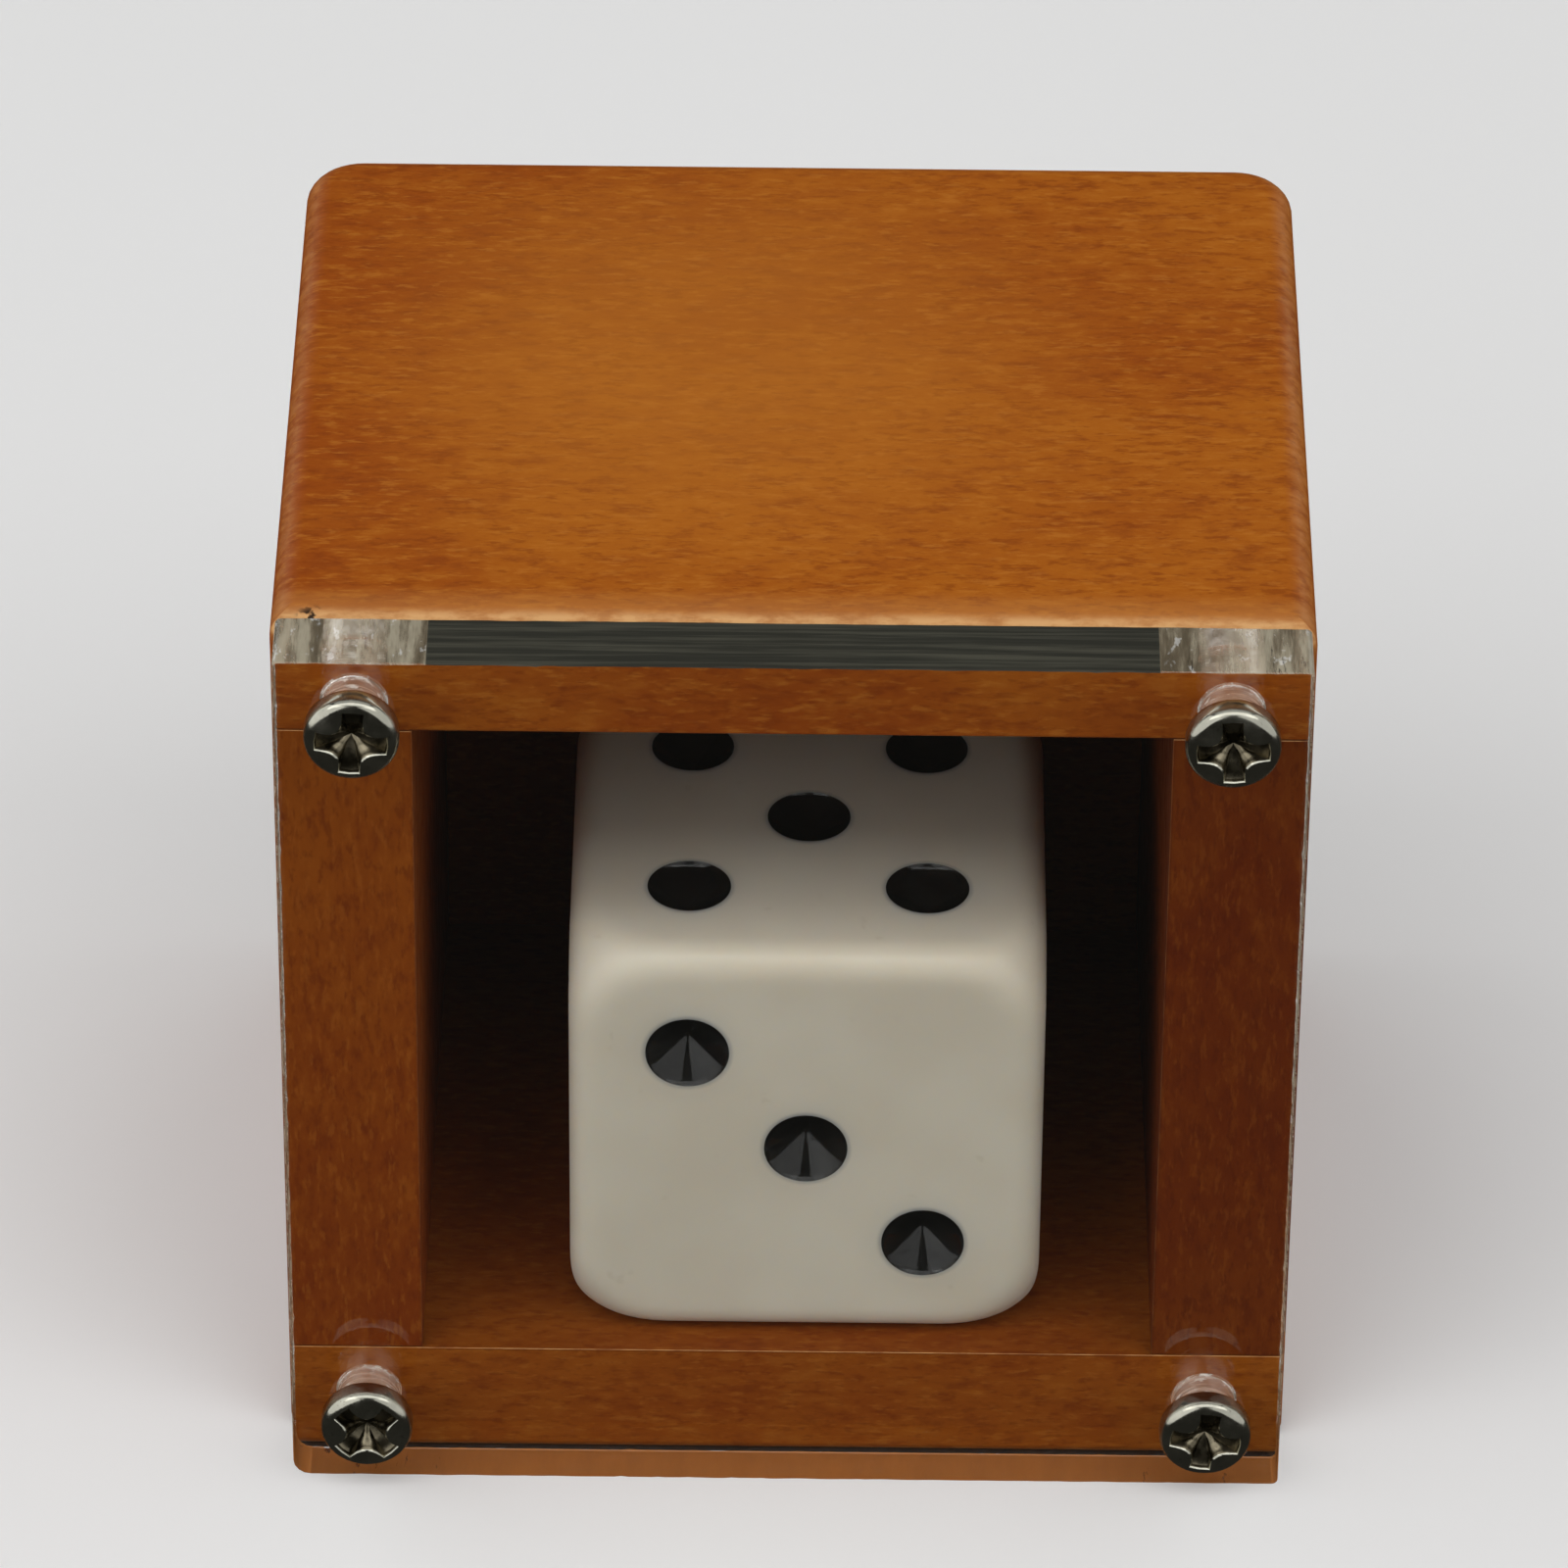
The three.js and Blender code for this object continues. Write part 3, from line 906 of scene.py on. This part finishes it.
def screw_mesh():
    """The whole screw along Y, its head's seat at 0 and its point at SHANK_LENGTH."""
    angles = [FULL_TURN * i / SCREW_SEGMENTS for i in range(SCREW_SEGMENTS)]

    def ring(y, radii):
        return [Vector((radius * math.cos(angle), y, radius * math.sin(angle)))
                for angle, radius in zip(angles, radii)]

    crown, *outline = head_profile()
    rings = [[Vector((0, crown[1], 0))]]
    rings += [ring(y, [radius] * SCREW_SEGMENTS) for radius, y in outline]
    first = 0.2 * MM
    last = SHANK_LENGTH - 0.05 * MM
    for row in range(THREAD_ROWS):
        y = first + (last - first) * row / (THREAD_ROWS - 1)
        rings.append(ring(y, [thread_radius(angle, y) for angle in angles]))
    rings.append([Vector((0, SHANK_LENGTH, 0))])
    return ring_mesh("screw", rings)


def star_outline(reach, half_width, waist, depth):
    """One level of the cross recess: four square-ended wings joined by hollow curves."""
    corner_a = Vector((reach, half_width))
    corner_b = Vector((half_width, reach))
    pull = 2 * waist - (reach + half_width) / 2
    control = Vector((pull, pull))
    quarter = [Vector((reach + 0.03 * MM, 0.0)), Vector((reach, 0.75 * half_width)), corner_a]
    for step in range(1, STAR_CURVE_STEPS):
        t = step / STAR_CURVE_STEPS
        quarter.append(corner_a * (1 - t) ** 2 + control * 2 * t * (1 - t) + corner_b * t ** 2)
    quarter += [corner_b, Vector((0.75 * half_width, reach))]
    ring = []
    for turn in range(4):
        rotation = Matrix.Rotation(turn * math.pi / 2, 2)
        for spot in quarter:
            x, z = rotation @ spot
            ring.append(Vector((x, crown_y(spot.length) + depth, z)))
    return ring


def recess_cutter():
    """The cross recess as one solid: a chamfer row round its mouth in the plain nickel, the rest in
    darker nickel that is painted shade.
    """
    rings = [[Vector((0, -HEAD_HEIGHT - 0.3 * MM, 0))]]
    for depth, reach, half_width, waist in RECESS_LEVELS:
        rings.append(star_outline(reach * MM, half_width * MM, waist * MM, depth * MM))
    rings.append([Vector((0, -HEAD_HEIGHT + RECESS_DEPTH, 0))])
    mesh = ring_mesh("recess", rings, lambda row: 0 if row <= CHAMFER_ROWS else 1)
    cutter = mesh_object("recess", mesh)
    mesh.materials.append(nickel)
    mesh.materials.append(shaded_recess_nickel)
    face_outward(cutter)
    return cutter


# Each screw's body and how far it is turned, in degrees.
SCREWS = {
    "screw_top_left": ("upper_left_screw", 4),
    "screw_top_right": ("upper_right_screw", -3),
    "screw_bottom_left": ("lower_left_screw", 45),
    "screw_bottom_right": ("lower_right_screw", 8),
}


def make_screws():
    """Four copies of one screw, each seated on the window's front face."""
    master = mesh_object("screw_master", screw_mesh())
    face_outward(master)
    master.data.materials.append(nickel)
    cut(master, [recess_cutter()])
    smooth(master, 32)
    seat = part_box("window_plate")[0].y
    for node, (body, degrees) in SCREWS.items():
        low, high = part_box(node)
        place = Vector(((low.x + high.x) / 2, seat, (low.z + high.z) / 2))
        mesh = master.data.copy()
        mesh.transform(Matrix.Translation(place) @ Matrix.Rotation(math.radians(degrees), 4, "Y"))
        screw = mesh_object(node + "_piece", mesh)
        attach(screw, body)
        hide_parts(node)
    bpy.data.objects.remove(master)


make_screws()


# ------------------------------------------------------------------ die

PIP_PATTERNS = {
    1: [(0, 0)],
    2: [(-1, -1), (1, 1)],
    3: [(-1, 1), (0, 0), (1, -1)],
    4: [(-1, -1), (-1, 1), (1, -1), (1, 1)],
    5: [(-1, -1), (-1, 1), (1, -1), (1, 1), (0, 0)],
    6: [(-1, -1), (-1, 0), (-1, 1), (1, -1), (1, 0), (1, 1)],
}

# Each face's value, its outward normal, and the two directions its pips are laid in.
DIE_FACES = (
    (3, (0, -1, 0), (1, 0, 0), (0, 0, 1)),
    (4, (0, 1, 0), (-1, 0, 0), (0, 0, 1)),
    (5, (0, 0, 1), (1, 0, 0), (0, 1, 0)),
    (2, (0, 0, -1), (1, 0, 0), (0, -1, 0)),
    (1, (-1, 0, 0), (0, -1, 0), (0, 0, 1)),
    (6, (1, 0, 0), (0, 1, 0), (0, 0, 1)),
)

# How far the edges' rounding reaches and how full it is, the ball that trims the corners, and
# the width of the blend between the two.
DIE_EDGE_EXTENT = 1.5 * MM
DIE_EDGE_POWER = 2.8
DIE_CORNER_REACH = 14.88 * MM
DIE_BLEND = 0.8 * MM


def die_distance(point, half):
    """Below 0 inside the tumbled die: a cube with soft full edges, its corners kept in a ball."""
    past = [max(abs(part) - (half - DIE_EDGE_EXTENT), 0.0) for part in point]
    cube = sum(part ** DIE_EDGE_POWER for part in past) ** (1 / DIE_EDGE_POWER) - DIE_EDGE_EXTENT
    ball = point.length - DIE_CORNER_REACH
    overlap = max(DIE_BLEND - abs(cube - ball), 0.0) / DIE_BLEND
    return max(cube, ball) + overlap * overlap * DIE_BLEND / 4


def tumbled_cube(name, centre, half):
    """A closed mesh of the die's body, finest along its edges and corners."""
    # Grid lines from a face's middle to its edge, closer together where the rounding is.
    steps = [0.0, 0.32, 0.6, 0.66, 0.72, 0.77, 0.8, 0.825]
    steps += [0.825 + 0.175 * count / 12 for count in range(1, 13)]
    line = [-step for step in reversed(steps[1:])] + steps
    last = len(line) - 1
    verts = []
    index = {}

    def vertex(key):
        """The surface point on the line from the centre through one grid point."""
        if key not in index:
            point = Vector(line[part] for part in key) * half
            inside, outside = 0.7, 1.0
            for _ in range(24):
                middle = (inside + outside) / 2
                if die_distance(point * middle, half) > 0:
                    outside = middle
                else:
                    inside = middle
            index[key] = len(verts)
            verts.append(centre + point * outside)
        return index[key]

    faces = []
    for axis in range(3):
        u, v = (axis + 1) % 3, (axis + 2) % 3
        for side in (0, last):
            for i in range(last):
                for j in range(last):
                    loop = []
                    for a, b in ((i, j), (i + 1, j), (i + 1, j + 1), (i, j + 1)):
                        key = [0, 0, 0]
                        key[axis], key[u], key[v] = side, a, b
                        loop.append(vertex(tuple(key)))
                    faces.append(loop if side else loop[::-1])
    mesh = bpy.data.meshes.new(name)
    mesh.from_pydata(verts, [], faces)
    return mesh_object(name, mesh)


def pip_cutter(point, normal):
    """A drilled pip: a short rim with a softened mouth over a shallow, almost straight cone."""
    mouth, wall = PIP_RADIUS * 1.03, PIP_RADIUS * 0.975
    profile = [(0, -CUTTER_OVERHANG), (mouth, -CUTTER_OVERHANG), (mouth, -0.04 * MM),
               (PIP_RADIUS, 0.03 * MM), (wall, PIP_RIM)]
    for step in range(1, PIP_STEPS):
        t = step / PIP_STEPS
        profile.append((wall * (1 - t), PIP_RIM + (PIP_DEPTH - PIP_RIM) * t * (1 - 0.02 * t)))
    profile.append((0, PIP_DEPTH))
    cutter = turned("pip", profile, 48, (0, 0, 0), pip_paint)
    turn = Vector((0, 1, 0)).rotation_difference(-Vector(normal))
    cutter.data.transform(Matrix.Translation(point) @ turn.to_matrix().to_4x4())
    return cutter


def make_die():
    """The die's body with every pip drilled out of it and painted."""
    low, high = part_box("die")
    centre = (low + high) / 2
    half = (high.x - low.x) / 2
    pips = []
    for value, normal, right, up in DIE_FACES:
        for across, along in PIP_PATTERNS[value]:
            point = centre + Vector(normal) * half
            point += Vector(right) * across * PIP_SPACING + Vector(up) * along * PIP_SPACING
            pips.append((point, normal))
    die = tumbled_cube("die_piece", centre, half)
    face_outward(die)
    die.data.materials.append(ivory_material("ivory_plastic", [point for point, _ in pips]))
    cut(die, [pip_cutter(point, normal) for point, normal in pips])
    smooth(die, 35)
    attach(die, "loose_die")
    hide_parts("die")


make_die()


# ------------------------------------------------------------------ stage, lights, camera

# The floor stops short of the softboxes. Past its edge the pale world carries on.
FLOOR_REACH = 0.3
FLOOR_GREY = 0.86
# The grey of the painted shade under the box.
UNDER_BOX_PAINTED_SHADE = 0.03

# Each light's azimuth and elevation in degrees, distance, width and height in metres, and watts.
SOFTBOXES = {
    "overhead": (0, 88, 0.5, 0.7, 0.4, 0.55),
    "front_softbox": (0, 64, 0.5, 1.0, 0.26, 1.25),
    "left_wall": (-64, 23, 0.52, 1.0, 0.62, 2.45),
    "right_wall": (64, 23, 0.52, 1.0, 0.62, 1.8),
    "left_fill": (-140, 22, 0.6, 0.4, 0.3, 0.5),
    "right_fill": (140, 22, 0.6, 0.4, 0.3, 0.5),
}

# What the world shows the camera, the pieces, and a ray that has come through the clear sheet.
WORLD_SEEN = 0.9
WORLD_DIM = (0.036, 0.035, 0.031)
WORLD_THROUGH_SHEET = 0.8

CAMERA_LENS = 229.4
CAMERA_SIDEWAYS = 0.73 * MM
CAMERA_FROM_WINDOW = 312.4 * MM
CAMERA_HEIGHT = 261.3 * MM
CAMERA_PITCH, CAMERA_TURN, CAMERA_ROLL = math.radians(35.93), math.radians(-0.19), math.radians(0.5)


def floor_sheet(name, low, high, level):
    """A matt grey rectangle on the ground that no reflection or bounced light sees."""
    mesh = bpy.data.meshes.new(name)
    mesh.from_pydata(
        [(low.x, low.y, 0), (high.x, low.y, 0), (high.x, high.y, 0), (low.x, high.y, 0)],
        [], [(0, 1, 2, 3)])
    sheet = mesh_object(name, mesh)
    material = bpy.data.materials.new(name)
    nodes = Nodes(material)
    shader = nodes.principled(Base_Color=grey(level), Roughness=0.9)
    nodes.finish(shader.outputs[0])
    mesh.materials.append(material)
    sheet.visible_glossy = False
    sheet.visible_diffuse = False
    return sheet


def make_floor():
    """A wide pale floor, and a dark sheet of painted shade under the box that shows through the
    clear sheet.
    """
    corner = Vector((FLOOR_REACH, FLOOR_REACH))
    floor = floor_sheet("floor", -corner, corner, FLOOR_GREY)
    floor.visible_transmission = False
    # Painted shade: a dark sheet under the box, seen only through the clear sheet.
    shade = floor_sheet("painted_shade_under_box", *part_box("bottom_board"), UNDER_BOX_PAINTED_SHADE)
    shade.visible_camera = False
    shade.visible_shadow = False


def softbox(name, azimuth, elevation, distance, width, height, watts, target):
    """A plain area light aimed at a point. Azimuth 0 is in front, positive to the right."""
    data = bpy.data.lights.new(name, "AREA")
    data.shape = "RECTANGLE"
    data.size = width
    data.size_y = height
    data.energy = watts
    lamp = bpy.data.objects.new(name, data)
    a, e = math.radians(azimuth), math.radians(elevation)
    away = Vector((math.sin(a) * math.cos(e), -math.cos(a) * math.cos(e), math.sin(e)))
    lamp.location = target + away * distance
    lamp.rotation_mode = "QUATERNION"
    lamp.rotation_quaternion = away.to_track_quat("Z", "Y")
    bpy.context.scene.collection.objects.link(lamp)


def make_lights():
    target = (cad_low + cad_high) / 2
    for name, settings in SOFTBOXES.items():
        softbox(name, *settings, target)
    bpy.context.scene.world = studio_world()


def studio_world():
    """Pale to the camera and dim to the pieces; pale behind and below, seen through clear sheet."""
    world = bpy.data.worlds.new("studio")
    world.use_nodes = True
    tree = world.node_tree
    tree.nodes.clear()

    def background(shade):
        node = tree.nodes.new("ShaderNodeBackground")
        node.inputs["Color"].default_value = shade
        return node.outputs[0]

    def mixed(factor, a, b):
        node = tree.nodes.new("ShaderNodeMixShader")
        for socket, source in zip(node.inputs, (factor, a, b)):
            tree.links.new(source, socket)
        return node.outputs[0]

    def compared(operation, value, limit):
        node = tree.nodes.new("ShaderNodeMath")
        node.operation = operation
        tree.links.new(value, node.inputs[0])
        node.inputs[1].default_value = limit
        return node.outputs[0]

    direction = tree.nodes.new("ShaderNodeSeparateXYZ")
    tree.links.new(tree.nodes.new("ShaderNodeTexCoord").outputs["Generated"], direction.inputs[0])
    backward = compared("GREATER_THAN", direction.outputs["Y"], 0.0)
    downward = compared("LESS_THAN", direction.outputs["Z"], 0.0)
    path = tree.nodes.new("ShaderNodeLightPath")
    dim = background(colour(*WORLD_DIM))
    behind = mixed(backward, dim, background(grey(WORLD_THROUGH_SHEET)))
    through_sheet = mixed(downward, dim, behind)
    unseen = mixed(path.outputs["Is Transmission Ray"], dim, through_sheet)
    seen = mixed(path.outputs["Is Camera Ray"], unseen, background(grey(WORLD_SEEN)))
    output = tree.nodes.new("ShaderNodeOutputWorld")
    tree.links.new(seen, output.inputs["Surface"])
    return world


def make_camera():
    """The camera of the photo, as fitted to the box's corners, screws and pips."""
    data = bpy.data.cameras.new("camera")
    data.sensor_width = 36
    data.lens = CAMERA_LENS
    camera = bpy.data.objects.new("camera", data)
    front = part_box("window_plate")[0].y
    camera.location = Vector((CAMERA_SIDEWAYS, front - CAMERA_FROM_WINDOW, CAMERA_HEIGHT))
    camera.rotation_mode = "QUATERNION"
    camera.rotation_quaternion = (
        Euler((0, 0, -CAMERA_TURN)).to_quaternion()
        @ Euler((math.pi / 2 - CAMERA_PITCH, 0, 0)).to_quaternion()
        @ Euler((0, 0, CAMERA_ROLL)).to_quaternion())
    bpy.context.scene.collection.objects.link(camera)
    bpy.context.scene.camera = camera


make_floor()
make_lights()
make_camera()
bpy.context.scene.view_settings.view_transform = "Standard"
